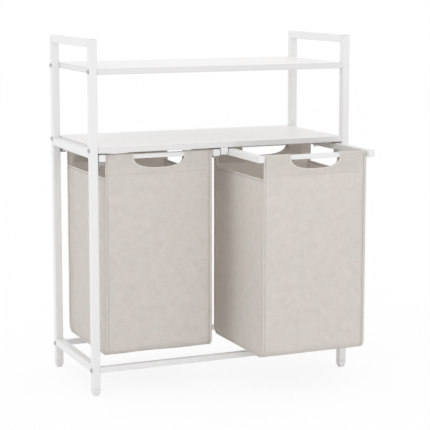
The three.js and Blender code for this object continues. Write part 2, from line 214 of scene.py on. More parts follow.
def set_relief(tree, shader, height, depth, softness=0.0):
    """Bump from a height, over edges that are rounded off by the softness."""
    relief = add_node(tree, "Bump", {"Height": height, "Strength": 1.0, "Distance": depth})
    if softness:
        rounded = add_node(tree, "Bevel", {"Radius": softness}, samples=corner_samples)
        tree.links.new(rounded.outputs[0], relief.inputs["Normal"])
    tree.links.new(relief.outputs[0], shader.inputs["Normal"])


def hard_finish(name, colours, roughness, patches, grain_scale, grain_depth, softness=0.0, detail=2.0):
    """A hard surface that wanders in patches between two colours and two roughnesses. The detail is
    the patches', and a softness rounds the edges off."""
    material, tree, shader = new_material(name, colours[1], sum(roughness) / 2)
    place = add_node(tree, "TexCoord").outputs["Object"]
    cloudy = noise_at(tree, place, patches, detail)
    tree.links.new(blend_colours(tree, cloudy, *colours), shader.inputs["Base Color"])
    tree.links.new(map_range(tree, cloudy, (0.0, 1.0), roughness), shader.inputs["Roughness"])
    set_relief(tree, shader, noise_at(tree, place, grain_scale, grain_detail), grain_depth, softness)
    return material


def put_on(node, material):
    """Puts a material on one of the frame's own pieces."""
    for holder in frame["nodes"][node].material_slots:
        holder.material = material


def put_on_slot(slot, material):
    """Puts a material on all the frame's pieces of one of the record's slots."""
    for part in frame["record"]["subparts"]:
        if part["material_slot"] == slot:
            put_on(part["node"], material)


paint = hard_finish(
    "white_powder_coat", colours=((0.862, 0.864, 0.861, 1), (0.885, 0.886, 0.882, 1)),
    roughness=(0.32, 0.41), patches=14.0, grain_scale=900.0, grain_depth=0.00006, softness=0.0014)
put_on_slot("stand_paint", paint)


# Welds
# Small fillet beads join the side rails to the posts, the top bars to the posts inside each mitre,
# and the cross bars of each bin to its runners. They lie under the same powder coat as the tubes.
frame_bead = 0.0015
bin_bead = 0.0010
bead_bite = 0.25
bead_sides = 8
ripple_pitch = 0.0016
ripple_share = 0.10
post_low, post_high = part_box("front_left_post")
tube_width = post_high.x - post_low.x


def band(here, there, sides):
    """Faces between two rings of points, which start at here and there."""
    turns = [(k, (k + 1) % sides) for k in range(sides)]
    return [(here + a, here + b, there + b, there + a) for a, b in turns]


def tube_along(path, ups, across, tall, sides, closed=False):
    """Points and faces of an oval tube along a path. The ups are the way that its height goes."""
    points, faces, count = [], [], len(path)
    for i in range(count):
        last = path[i - 1] if closed or i else path[i]
        following = path[(i + 1) % count] if closed or i < count - 1 else path[i]
        side = (following - last).cross(ups[i]).normalized()
        wide = across[i] if isinstance(across, list) else across
        high = tall[i] if isinstance(tall, list) else tall
        for k in range(sides):
            angle = 2 * math.pi * k / sides
            out = side * (wide / 2 * math.cos(angle)) + ups[i] * (high / 2 * math.sin(angle))
            points.append(path[i] + out)
    for i in range(count if closed else count - 1):
        faces += band(i * sides, (i + 1) % count * sides, sides)
    if not closed:
        faces.append(tuple(reversed(range(sides))))
        faces.append(tuple(range((count - 1) * sides, count * sides)))
    return points, faces


def joined(parts):
    """Several lists of points and faces as one."""
    points, faces = [], []
    for more_points, more_faces in parts:
        start = len(points)
        points.extend(more_points)
        faces.extend(tuple(i + start for i in face) for face in more_faces)
    return points, faces


def ripple_steps(start, end):
    """Two steps to a ripple."""
    return max(2, round((end - start).length / ripple_pitch * 2))


def rippled(radius, step):
    """A bead's width, which swells on every other step."""
    return 2 * radius * (1 + ripple_share * (-1) ** step)


def bead_round(centre, half, radius, facing):
    """A bead round the end of a square tube, against a face whose normal is facing (X or Y)."""
    sideways = Vector((0, 1, 0)) if abs(facing.x) else Vector((1, 0, 0))
    up = Vector((0, 0, 1))
    corners = [centre + (sideways * a + up * b) * half for a, b in ((1, 1), (-1, 1), (-1, -1), (1, -1))]
    path, widths = [], []
    for i, start in enumerate(corners):
        end = corners[(i + 1) % len(corners)]
        steps = ripple_steps(start, end)
        path += [start.lerp(end, k / steps) for k in range(steps)]
        widths += [rippled(radius, k) for k in range(steps)]
    return tube_along(path, [facing] * len(path), widths, widths, bead_sides, closed=True)


def straight_bead(start, end, radius, up):
    steps = ripple_steps(start, end)
    path = [start.lerp(end, k / steps) for k in range(steps + 1)]
    widths = [rippled(radius, k) for k in range(steps + 1)]
    return tube_along(path, [up] * len(path), widths, widths, bead_sides)


for side in ("left", "right"):
    beads = []
    for rail in ("middle_rail", "bottom_rail"):
        low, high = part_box(f"{side}_{rail}")
        centre = (low + high) / 2
        for y, way in ((low.y, -1), (high.y, 1)):
            spot = Vector((centre.x, y + way * frame_bead * bead_bite, centre.z))
            beads.append(bead_round(spot, tube_width / 2, frame_bead, Vector((0, way, 0))))
    low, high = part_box(f"{side}_top_bar")
    for y, way in ((low.y + tube_width, 1), (high.y - tube_width, -1)):
        start = Vector((low.x + frame_bead, y, low.z))
        end = Vector((high.x - frame_bead, y, low.z))
        beads.append(straight_bead(start, end, frame_bead, Vector((0, way, -1)).normalized()))
    welds = piece_from(f"{side}_side_welds", *joined(beads), paint)
    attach(welds, "frame")

for bin_name in ("left_bin", "right_bin"):
    beads = []
    for bar in ("front_bar", "back_bar"):
        low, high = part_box(f"{bin_name}_{bar}")
        centre = (low + high) / 2
        for x, way in ((low.x, -1), (high.x, 1)):
            spot = Vector((x + way * bin_bead * bead_bite, centre.y, centre.z))
            beads.append(bead_round(spot, (high.z - low.z) / 2, bin_bead, Vector((way, 0, 0))))
    welds = piece_from(f"{bin_name}_bar_welds", *joined(beads), paint)
    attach(welds, bin_name)


# Shelf boards
# Particle board 15 mm thick, faced with white melamine and edged with a matching band on all four
# sides. The band's faces are coloured darker than the melamine top: painted shade on the edges.
# The glue line of the band shows as a hair line just inside each long edge.
# The band's colour is a darker copy of the melamine: painted shade on the board's edges
shaded_band_colour = (0.822, 0.818, 0.817, 1)
glue_line_colour = (0.55, 0.54, 0.52, 1)
glue_line_width = 0.00035
glue_line_setback = 0.0010

for shelf in ("top_shelf", "middle_shelf"):
    low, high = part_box(shelf)
    board = hard_finish(
        f"white_melamine_{shelf}", colours=((0.921, 0.915, 0.903, 1), (0.935, 0.929, 0.917, 1)),
        roughness=(0.37, 0.44), patches=9.0, grain_scale=1400.0, grain_depth=0.00003, softness=0.0007)
    tree = board.node_tree
    base_colour = tree.nodes["Principled BSDF"].inputs["Base Color"]
    height = add_node(tree, "SeparateXYZ", {0: add_node(tree, "TexCoord").outputs["Object"]}).outputs["Z"]
    from_middle = calculate(tree, "ABSOLUTE", calculate(tree, "SUBTRACT", height, (low.z + high.z) / 2))
    line_height = (high.z - low.z) / 2 - glue_line_setback
    off_line = calculate(tree, "ABSOLUTE", calculate(tree, "SUBTRACT", from_middle, line_height))
    on_line = calculate(tree, "LESS_THAN", off_line, glue_line_width / 2)
    on_band = calculate(tree, "LESS_THAN", from_middle, line_height)
    # Painted shade: the edge faces get the darker band colour instead of the melamine's
    band_with_shade = blend_colours(tree, on_band, base_colour.links[0].from_socket, shaded_band_colour)
    tree.links.new(blend_colours(tree, on_line, band_with_shade, glue_line_colour), base_colour)
    put_on(shelf, board)


# Feet and caps
# Moulded plastic: the tapered feet plugged into the posts, the end caps of the runners and of the
# centre rail, and the shoes at the back of the runners. They are matt, with a fine eroded texture.
for slot, name, colours, roughness in (
    ("foot_plastic", "moulded_foot", ((0.83, 0.83, 0.825, 1), (0.86, 0.86, 0.855, 1)), (0.45, 0.56)),
    ("cap_plastic", "moulded_cap", ((0.86, 0.86, 0.855, 1), (0.885, 0.885, 0.88, 1)), (0.41, 0.52)),
):
    put_on_slot(slot, hard_finish(
        name, colours, roughness, patches=60.0, grain_scale=1700.0, grain_depth=0.00005,
        softness=0.00112))


# Bolts and screws
# Zinc-plated button-head bolts go through the posts into the boards and the bottom rails, and two
# pan-head screws hold the centre rail under the middle shelf. Each head has a hexagon socket.

# Heads have a radius and a height
bolt_head = (0.0055, 0.0032)
bolt_shank_radius = 0.003
screw_head = (0.00425, 0.0024)
screw_shank_radius = 0.0021
turned_steps = 48
turned_sharp_angle = math.radians(38)

# Shares of the shank: its tip and thread. Shares of the head: its rim, dome, flat top and socket
tip_share = 0.55
thread_pitch_share = 0.16
thread_root_share = 0.84
threaded_share = 0.45
head_rim = ((0.97, 0.0), (1.0, 0.08), (1.0, 0.28))
dome_start = 0.28
dome_inner = 0.56
dome_steps = 7
head_flat = 0.53
socket_share = 0.36
socket_mouth_share = 0.3888
socket_mouth_height = 0.95
socket_floor_height = 0.38

steel = hard_finish(
    "zinc_plate", colours=((0.50, 0.50, 0.515, 1), (0.60, 0.60, 0.61, 1)), roughness=(0.27, 0.42),
    patches=420.0, detail=3.0, grain_scale=2600.0, grain_depth=0.00002)
steel.node_tree.nodes["Principled BSDF"].inputs["Metallic"].default_value = 1.0


def turn_piece(node, rings, base, way, material):
    """Puts a turned piece along a way from a base in its node's place. Rings are (radius, distance,
    is_hexagon), and both ends close on the axis."""
    across = way.orthogonal().normalized()
    over = way.cross(across)
    points, faces = [], []
    for radius, distance, is_hexagon in rings:
        for k in range(turned_steps):
            angle = 2 * math.pi * k / turned_steps
            reach = radius
            if is_hexagon:
                off_middle = (angle + math.pi / 6) % (math.pi / 3) - math.pi / 6
                reach = radius / math.cos(off_middle)
            out = across * math.cos(angle) + over * math.sin(angle)
            points.append(base + way * distance + out * reach)
    for i in range(len(rings) - 1):
        faces += band(i * turned_steps, (i + 1) * turned_steps, turned_steps)
    for ring, turned_back in ((0, True), (len(rings) - 1, False)):
        points.append(base + way * rings[ring][1])
        middle = len(points) - 1
        for k in range(turned_steps):
            a, b = ring * turned_steps + k, ring * turned_steps + (k + 1) % turned_steps
            faces.append((middle, b, a) if turned_back else (middle, a, b))
    piece = piece_from(f"{node}_turned", points, faces, material)
    piece.data.set_sharp_from_angle(angle=turned_sharp_angle)
    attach(piece, "frame")
    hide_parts(node)


def fixing_rings(head_radius, head_height, shank_radius, shank_length):
    """A bolt or screw from its tip to the bottom of its socket, measured from under the head."""
    start = shank_radius / 2 - shank_length
    rings = [(shank_radius * tip_share, -shank_length, False), (shank_radius, start, False)]
    pitch = 2 * shank_radius * thread_pitch_share
    for i in range(int(shank_length * threaded_share / pitch)):
        rings.append((shank_radius * thread_root_share, start + (i + 0.5) * pitch, False))
        rings.append((shank_radius, start + (i + 1) * pitch, False))
    rings.append((shank_radius, 0, False))
    profile = [(wide, tall, False) for wide, tall in head_rim]
    for i in range(1, dome_steps):
        angle = math.pi / 2 * i / dome_steps
        wide = dome_inner + (1 - dome_inner) * math.cos(angle)
        profile.append((wide, dome_start + (1 - dome_start) * math.sin(angle), False))
    profile += [
        (head_flat, 1, False),
        (socket_mouth_share, 1, True),
        (socket_share, socket_mouth_height, True),
        (socket_share, socket_floor_height, True),
    ]
    return rings + [(wide * head_radius, tall * head_height, hexagon) for wide, tall, hexagon in profile]


def make_fixing(node, way, head, shank_radius):
    """A bolt or screw in its node's place. The way goes from its tip to its head."""
    low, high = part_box(node)
    length = abs((high - low).dot(way))
    seat = (low + high) / 2 + way * (length / 2 - head[1])
    rings = fixing_rings(*head, shank_radius, length - head[1])
    turn_piece(node, rings, seat, way, steel)


for side, way in (("left", Vector((-1, 0, 0))), ("right", Vector((1, 0, 0)))):
    for end in ("front", "back"):
        for level in ("top_shelf", "middle_shelf", "cross_rail"):
            make_fixing(f"{end}_{side}_{level}_bolt", way, bolt_head, bolt_shank_radius)
for end in ("front", "back"):
    make_fixing(f"centre_rail_{end}_screw", Vector((0, 0, -1)), screw_head, screw_shank_radius)


# Pegs and pins
# Turned nylon, light grey. A peg on each post and a pin through each lug of the centre rail carry
# the runners, which slide over them. The ends are rounded so that a bin can be hooked on.
peg_radius = 0.0045
peg_shank_radius = 0.0025
peg_shoulder = 0.0003
shank_tip_radius = 0.0020
shank_chamfer = 0.0004
end_round = 0.0016
end_steps = 5
dimple_radii = (0.00135, 0.00099)
dimple_depth = 0.0006

nylon = hard_finish(
    "grey_nylon", colours=((0.42, 0.42, 0.425, 1), (0.48, 0.48, 0.485, 1)), roughness=(0.36, 0.50),
    patches=300.0, grain_scale=2200.0, grain_depth=0.00003)


def round_end(radius, distance, way):
    """Rings over a rounded end at a distance, going out for way 1 and coming in for way -1."""
    rings = []
    for i in range(end_steps + 1):
        angle = math.pi / 2 * i / end_steps
        inset = end_round * (1 - math.cos(angle))
        rise = end_round * (1 - math.sin(angle))
        rings.append((radius - inset, distance - way * rise, False))
    return rings if way > 0 else rings[::-1]


for side, way in (("left", 1), ("right", -1)):
    for end in ("front", "back"):
        low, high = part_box(f"{end}_{side}_peg")
        post_low, post_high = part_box(f"{end}_{side}_post")
        wall = post_high.x if way > 0 else post_low.x
        shank_end, tip = sorted((way * (low.x - wall), way * (high.x - wall)))
        rings = [
            (shank_tip_radius, shank_end, False),
            (peg_shank_radius, shank_end + shank_chamfer, False),
            (peg_shank_radius, peg_shoulder, False),
            (peg_radius, peg_shoulder, False),
        ]
        rings += round_end(peg_radius, tip, 1)
        rings += [(dimple_radii[0], tip, False), (dimple_radii[1], tip - dimple_depth, False)]
        base = Vector((wall, (low.y + high.y) / 2, (low.z + high.z) / 2))
        turn_piece(f"{end}_{side}_peg", rings, base, Vector((way, 0, 0)), nylon)
for end in ("front", "back"):
    pin = f"centre_rail_{end}_pin"
    low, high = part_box(pin)
    half = (high.x - low.x) / 2
    rings = round_end(peg_radius, -half, -1) + round_end(peg_radius, half, 1)
    turn_piece(pin, rings, (low + high) / 2, Vector((1, 0, 0)), nylon)


# Bag cloth
# Warm beige woven polyester, like a coarse linen: a plain weave of about 1 mm with slubs, in soft
# pinkish and greenish beige blotches, matt with a little fuzz. It is thin, so some of the light goes
# through and the inside of a bag glows brown. Tape and thread are thicker and look a shade paler.
cloth_colours = ((0.865, 0.824, 0.783, 1), (0.955, 0.914, 0.873, 1))
tape_colours = ((0.715, 0.670, 0.624, 1), (0.785, 0.740, 0.692, 1))
thread_colours = ((0.68, 0.635, 0.590, 1), (0.75, 0.705, 0.660, 1))
# Painted shade darkens the cloth along each line of stitches, where the sewn cloth dents
stitch_shadow = (0.42, 0.38, 0.34, 1)
stitch_shadow_share = 0.55
let_through = 0.36
cloth_roughness = 0.92
cloth_sheen = 0.12
cloth_sheen_roughness = 0.6
cloth_gloss = 0.25
weave_pitch = 0.0010
weave_depth = 0.00022
weave_share = 0.5
fine_weave_pitch = weave_pitch / 2
tape_weave_depth = weave_depth / 3
thread_weave_depth = weave_depth / 4
slub_along = 45.0
slub_across = 700.0
slub_share = 0.70
patch_scale = 48.0
patch_detail = 3.0
contrast_limits = (0.39, 0.61)

# Blotches of another tint: a colour, a scale, and a shift that keeps the two apart
tints = (((0.950, 0.893, 0.864, 1), 30.0, 0.0), ((0.900, 0.887, 0.838, 1), 26.0, 7.3))
tint_limits = (0.50, 0.68)
tint_share = 0.60


def cloth_material(name, colours, pitch, depth, is_bag_cloth):
    """Woven cloth. The weave follows the cut pattern, whose map is in metres."""
    material, tree, shader = new_material(name, colours[1], cloth_roughness)
    shader.inputs["Sheen Weight"].default_value = cloth_sheen
    shader.inputs["Sheen Roughness"].default_value = cloth_sheen_roughness
    shader.inputs["Specular IOR Level"].default_value = cloth_gloss
    cut = add_node(tree, "UVMap", uv_map="cut_pattern").outputs[0]
    ways = add_node(tree, "SeparateXYZ", {0: cut})
    crossings = [
        calculate(tree, "SINE", calculate(tree, "MULTIPLY", ways.outputs[axis], math.pi / pitch))
        for axis in ("X", "Y")
    ]
    weave = calculate(tree, "MULTIPLY", *crossings)
    slubs = []
    for stretch in ((slub_along, slub_across, 1.0), (slub_across, slub_along, 1.0)):
        drawn = add_node(tree, "VectorMath", {0: cut, 1: stretch}, operation="MULTIPLY")
        slubs.append(noise_at(tree, drawn.outputs[0], 1.0))
    threads = calculate(tree, "MULTIPLY", calculate(tree, "ADD", *slubs), 1 / len(slubs))
    patches = noise_at(tree, cut, patch_scale, patch_detail)
    mixed = calculate(tree, "ADD", calculate(tree, "MULTIPLY", threads, slub_share),
                      calculate(tree, "MULTIPLY", patches, 1 - slub_share))
    colour = blend_colours(tree, map_range(tree, mixed, contrast_limits), *colours)
    if is_bag_cloth:
        for tint, scale, shift in tints:
            moved = add_node(tree, "VectorMath", {0: cut, 1: (shift, shift, 0)}, operation="ADD")
            blotches = noise_at(tree, moved.outputs[0], scale, grain_detail)
            share = map_range(tree, blotches, tint_limits, (0.0, tint_share))
            colour = blend_colours(tree, share, colour, tint)
        # Painted shade along each line of stitches, standing in for the shadow in the seam's crease
        stitch_shade_mask = add_node(tree, "Attribute", attribute_name="seam_line").outputs["Fac"]
        shade = calculate(tree, "MULTIPLY", stitch_shade_mask, stitch_shadow_share)
        colour = blend_colours(tree, shade, colour, stitch_shadow)
    tree.links.new(colour, shader.inputs["Base Color"])
    raised = calculate(tree, "ADD", calculate(tree, "MULTIPLY", weave, weave_share), threads)
    set_relief(tree, shader, raised, depth)
    if is_bag_cloth:
        through = add_node(tree, "BsdfTranslucent", {"Color": colour})
        both = add_node(tree, "MixShader", {0: let_through, 1: shader.outputs[0], 2: through.outputs[0]})
        tree.links.new(both.outputs[0], tree.nodes["Material Output"].inputs["Surface"])
    return material


cloth = cloth_material("beige_cloth", cloth_colours, weave_pitch, weave_depth, True)
tape = cloth_material("beige_tape", tape_colours, fine_weave_pitch, tape_weave_depth, False)
thread = cloth_material("beige_thread", thread_colours, fine_weave_pitch, thread_weave_depth, False)


# Bag front, bottom and back
# One length of cloth hangs from both bars. Each end goes over its bar and down inside as a deep hem,
# sewn along its end and a little narrower, so the bar lies in the fold. The hand openings are cut
# through both layers. The cloth is slack, so it dents, ripples and sags a little at the bottom.

# Each bag's seed, so that the two don't dent alike
bags = {"left_bin": 3.1, "right_bin": 11.7}
cloth_thickness = 0.0011
layer_gap = 0.0002
bend_radius = 0.0028
bottom_outer_radius = 0.022
sleeve_close_drop = 0.0190
sleeve_corner_drop = 0.0340
hem_height = 0.0545
hem_row_rise = 0.0015
hem_line_share = 0.12
inner_layer_setback = 0.0148
hand_half_width = 0.0715
hand_drop = 0.0320
hand_power = 2.5
corner_seam_setback = {-1: 0.0040, 1: 0.0080}
seam_line_width = 0.0013
seam_sink = 0.0005
wall_dent = 0.0024
bottom_sag = 0.0030
calm_height = 0.09

# Dents and folds: depth, waves per metre for two directions of the noise, and a step of the seed
cloth_waves = (
    (0.0022, (7.0, 0.0), (0.0, 5.5), 0),
    (0.0007, (24.0, 0.0), (0.0, 17.0), 9),
    (0.0005, (60.0, 25.0), (-12.0, 9.0), 31),
)
pucker_depth = 0.00045
corner_pucker_setback = 0.004
corner_pucker_width = 0.006
corner_pucker_rate = 75
hem_pucker_width = 0.007
hem_pucker_rate = 70
hem_pucker_step = 3
wander_depth = 0.0003
wander_rate = 8
wander_step = 5
wander_fade = 0.03
wander_power = 4

# The mesh: its steps, and five fine rows to a line of stitches, which end below the hem's own rows
grid_step = 0.005
hem_step = 0.004
least_step = 0.0006
seam_row_steps = (-0.0018, -0.0009, 0.0, 0.0009, 0.0018)
seam_row_drop = 0.0004
hem_rows_rise = 0.0030
hand_columns = 18
bend_steps = 5
sleeve_steps = 10
inner_steps = 10

bag_low, bag_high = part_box("left_bin_bag")
bar_low, bar_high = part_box("left_bin_front_bar")
half_cloth = cloth_thickness / 2
half_width = (bag_high.x - bag_low.x) / 2
half_depth = (bag_high.y - bag_low.y) / 2
bar_half = (bar_high.z - bar_low.z) / 2
bar_height = (bar_high.z + bar_low.z) / 2
bar_reach = half_depth - (bar_low.y - bag_low.y) - bar_half
bar_bottom = bar_height - bar_half
bottom_radius = bottom_outer_radius - half_cloth
deep = half_depth - half_cloth
floor_height = bag_low.z + half_cloth
flat_run = deep - bottom_radius
turn_run = bottom_radius * math.pi / 2
lie = deep - bar_reach - bar_half
inner_face = bar_reach - bar_half - lie
sleeve_top = bar_height + bar_half + lie
sleeve_end = bar_bottom - sleeve_close_drop
hem_end = bag_high.z - hem_height
inner_layer = deep - cloth_thickness - layer_gap


def run_at(height):
    """How far along the cloth, from the middle of the bottom, a height on the front or back is."""
    return flat_run + turn_run + height - floor_height - bottom_radius


bar_run = run_at(bar_height)
sleeve_run = run_at(sleeve_end)
hem_row_run = run_at(hem_end + hem_row_rise)


def outline_at(run):
    """Depth, height and outward direction on the bag's side view, at a run below 0 for the front."""
    way = 1 if run > 0 else -1
    far = abs(run)
    if far <= flat_run:
        return way * far, floor_height, (0.0, -1.0)
    if far <= flat_run + turn_run:
        angle = (far - flat_run) / bottom_radius
        y = flat_run + bottom_radius * math.sin(angle)
        z = floor_height + bottom_radius - bottom_radius * math.cos(angle)
        return way * y, z, (way * math.sin(angle), -math.cos(angle))
    return way * deep, floor_height + bottom_radius + far - flat_run - turn_run, (way, 0.0)


def hand_edge(x):
    """Height of the hand opening's edge at a place across the bag."""
    share = min(1.0, abs(x) / hand_half_width)
    return bar_height - hand_drop * (1 - share ** hand_power) ** (1 / hand_power)


def ease(value):
    """From 0 to 1, slowly at both ends."""
    value = min(1.0, max(0.0, value))
    return value * value * (3 - 2 * value)


def ridge(distance, width):
    """1 on a line, falling to 0 over a width on both sides."""
    return math.exp(-(distance / width) ** 2)


def seam_strength(x, run):
    """1 on a line of stitches and 0 away from it."""
    far = abs(run)
    strengths = [hem_line_share * ridge(far - hem_row_run, seam_line_width)]
    if far < bar_run:
        for side, setback in corner_seam_setback.items():
            strengths.append(ridge(x - side * (half_width - setback), seam_line_width))
    return max(strengths)


def swell(x, run, seed):
    """How far the cloth stands out from its flat outline."""
    far = abs(run)
    across = 1 - (x / half_width) ** 2
    below_bar = ease((sleeve_run - far) / calm_height)
    wall_start = flat_run + turn_run
    stand = 0.0
    if far > wall_start:
        stand = -wall_dent * math.sin(math.pi * min(1.0, (far - wall_start) / (sleeve_run - wall_start)))
    elif far < flat_run:
        stand = bottom_sag * math.cos(math.pi / 2 * far / flat_run)
    for depth, (a, b), (c, d), step in cloth_waves:
        stand += depth * noise.noise(Vector((x * a + run * b, x * c + run * d, seed + step)))
    stand *= across * below_bar
    for side, setback in corner_seam_setback.items():
        near = ridge(x - side * (half_width - setback - corner_pucker_setback), corner_pucker_width)
        stand += pucker_depth * near * noise.noise(Vector((run * corner_pucker_rate, side, seed)))
    near = ridge(far - run_at(hem_end), hem_pucker_width) * below_bar
    place = Vector((x * hem_pucker_rate, run > 0, seed + hem_pucker_step))
    return stand + pucker_depth * near * noise.noise(place) - seam_sink * seam_strength(x, run)


def wander(side, y, z, seed):
    """How far a corner of the bag strays sideways."""
    place = Vector((side * wander_step + seed, y * wander_rate, z * wander_rate))
    return wander_depth * noise.noise(place)


def cloth_point(x, run, seed, lift=0.0):
    """A place on the outer cloth, lifted off its middle."""
    y, z, (out_y, out_z) = outline_at(run)
    stand = swell(x, run, seed) + lift
    side = 1 if x > 0 else -1
    share = (abs(x) / half_width) ** wander_power * ease((bar_height - z) / wander_fade)
    return Vector((x + side * wander(side, y, z, seed) * share, y + out_y * stand, z + out_z * stand))


def spaced(start, end, seams, step):
    """Even places from start to end, with closer ones at the seams between them."""
    count = max(1, round((end - start) / step))
    places = [start + (end - start) * i / count for i in range(count + 1)]
    close = [s + d for s in seams for d in seam_row_steps if start < s + d < end]
    kept = [p for p in places if all(abs(p - c) > least_step for c in close) or p in (start, places[-1])]
    return sorted(kept + close)


def bunched(count):
    """Places from -1 to 1 that lie closer together towards both ends."""
    return [math.sin(math.pi / 2 * i / count) for i in range(-count, count + 1)]


outer_columns = {
    side: spaced(hand_half_width, half_width, [half_width - setback], grid_step)[1:]
    for side, setback in corner_seam_setback.items()
}
columns = [-x for x in reversed(outer_columns[-1])]
columns += [hand_half_width * share for share in bunched(hand_columns)]
columns += outer_columns[1]
hem_rows_start = run_at(hem_end + hem_rows_rise)
body_runs = spaced(0.0, hem_rows_start, [hem_row_run - seam_row_drop], grid_step)
hem_runs = spaced(hem_rows_start, bar_run, [], hem_step)[1:]

# Over the bar: up from the bar's middle, round both upper corners and down to its middle inside
sleeve_path = [(deep, bar_height)]
for corner_y, start in ((deep - bend_radius, 0), (inner_face + bend_radius, 1)):
    for i in range(bend_steps + 1):
        angle = math.pi / 2 * (start + i / bend_steps)
        sleeve_path.append((
            corner_y + bend_radius * math.cos(angle),
            sleeve_top - bend_radius + bend_radius * math.sin(angle),
        ))
sleeve_path.append((inner_face, bar_height))

# Inside: down past the bar, out to the outer layer where the sleeve closes, and down to the hem's end
inside_heights = [bar_height - bar_half / 2, bar_bottom]
inside_heights += [bar_bottom - sleeve_close_drop * i / sleeve_steps for i in range(1, sleeve_steps + 1)]
hem_drop = sleeve_end - hem_end
inside_heights += [sleeve_end - hem_drop * i / inner_steps for i in range(1, inner_steps + 1)]


def inside_depth(x, z):
    """Depth of the inner layer, which closes on the outer one lower down towards the corners."""
    cornerwise = ease((abs(x) - hand_half_width) / (half_width - hand_half_width))
    drop = sleeve_close_drop + (sleeve_corner_drop - sleeve_close_drop) * cornerwise
    return inner_face + (inner_layer - inner_face) * ease((bar_bottom - z) / drop)


def column_points(x, way, seed):
    """A column of the cloth from the bottom's middle up one side, over the bar and down inside. Each
    place comes with its part: outer, over (which the hand opening takes away) or inner."""
    edge = hand_edge(x)
    points = [(cloth_point(x, way * run, seed), "outer") for run in body_runs]
    reach = (run_at(edge) - hem_rows_start) / (bar_run - hem_rows_start)
    for run in hem_runs:
        shortened = hem_rows_start + (run - hem_rows_start) * reach
        points.append((cloth_point(x, way * shortened, seed), "outer"))
    for y, z in sleeve_path[1:-1]:
        points.append((Vector((x, way * y, z)), "over"))
    shrink = (edge - hem_end) / (bar_height - hem_end)
    for height in [bar_height] + inside_heights:
        z = hem_end + (height - hem_end) * shrink
        follow = swell(x, way * run_at(z), seed) if z < sleeve_end else 0.0
        points.append((Vector((x, way * (inside_depth(x, z) + follow), z)), "inner"))
    return points


def runs_along(points):
    """How far along a row of points each of them is."""
    runs = [0.0]
    for last, here in zip(points, points[1:]):
        runs.append(runs[-1] + (here - last).length)
    return runs


def grid_face(c, r, rows):
    return c * rows + r, (c + 1) * rows + r, (c + 1) * rows + r + 1, c * rows + r + 1


def map_cut(piece, places):
    """Stores each point's place on the cut pattern, in metres."""
    layer = piece.data.uv_layers.new(name="cut_pattern")
    for loop in piece.data.loops:
        layer.data[loop.index].uv = places[loop.vertex_index]


def bag_sheet(bin_name, name, points, faces, places, shades):
    """A sheet of a bag's cloth, with its points' places on the cut pattern and how strongly the painted
    shade of a line of stitches darkens each of them."""
    sheet = piece_from(f"{bin_name}_bag_{name}", points, faces, cloth)
    map_cut(sheet, places)
    marks = sheet.data.attributes.new("seam_line", "FLOAT", "POINT")
    marks.data.foreach_set("value", shades)
    solid = sheet.modifiers.new("thickness", "SOLIDIFY")
    solid.thickness = cloth_thickness
    solid.offset = 0
    solid.use_even_offset = True
    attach(sheet, bin_name)
    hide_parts(f"{bin_name}_bag")
    return sheet


def centre_of(bin_name):
    low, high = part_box(f"{bin_name}_bag")
    return Vector(((low.x + high.x) / 2, (low.y + high.y) / 2, 0))


main_sheets, cut_lengths, going_with = {}, {}, {}
for bin_name, seed in bags.items():
    centre = centre_of(bin_name)
    points, places, faces, lengths = [], [], [], []
    for x in columns:
        front = column_points(x, -1, seed)
        whole = front[::-1] + column_points(x, 1, seed)[1:]
        row_parts = [part for _, part in whole]
        runs = runs_along([point for point, _ in whole])
        lengths.append(runs[-1])
        points += [point + centre for point, _ in whole]
        places += [(x, run - runs[len(front) - 1]) for run in runs]
    rows = len(row_parts)
    for c in range(len(columns) - 1):
        reach = abs(columns[c] + columns[c + 1]) / 2
        for r in range(rows - 1):
            parts = row_parts[r:r + 2]
            is_opening = reach < hand_half_width and "over" in parts
            is_set_back = reach > half_width - inner_layer_setback and parts == ["inner", "inner"]
            if not is_opening and not is_set_back:
                faces.append(grid_face(c, r, rows))
    used = sorted({i for face in faces for i in face})
    order = {old: new for new, old in enumerate(used)}
    faces = [tuple(order[i] for i in face) for face in faces]
    places = [places[i] for i in used]
    shades = [seam_strength(x, run) if abs(run) < bar_run else 0.0 for x, run in places]
    main_sheets[bin_name] = bag_sheet(
        bin_name, "main_cloth", [points[i] for i in used], faces, places, shades)
    cut_lengths[bin_name] = max(lengths)
    going_with[bin_name] = []


# Bag sides
# A side panel closes each side between the front and the back, up to 61 mm below the top. It is sewn
# in with its seam outside. Its upper edge is free, so it bows in and sags a little between the corners.
side_setback = 0.0038
side_top_drop = 0.061
side_bow = 0.0034
side_top_bow = 0.0030
side_top_bow_power = 3
side_top_sag = 0.0016
side_top_sag_power = 4
side_free_above = 1 / 6
side_waves = (
    (0.0030, (6.0, 0.0), (0.0, 5.0), 3),
    (0.0008, (22.0, 0.0), (0.0, 15.0), 9),
    (0.0006, (50.0, 30.0), (0.0, 10.0), 14),
)
side_pucker_depth = 0.0004
side_pucker_share = 0.06
side_pucker_rate = 75
side_row_drop = 0.005
side_row_width = 0.0011
side_row_shade = 0.8
side_columns = 34
bottom_turn_steps = 9
side_map_shift = 2
panels = ((-1, "left"), (1, "right"))
side_top = bag_high.z - side_top_drop


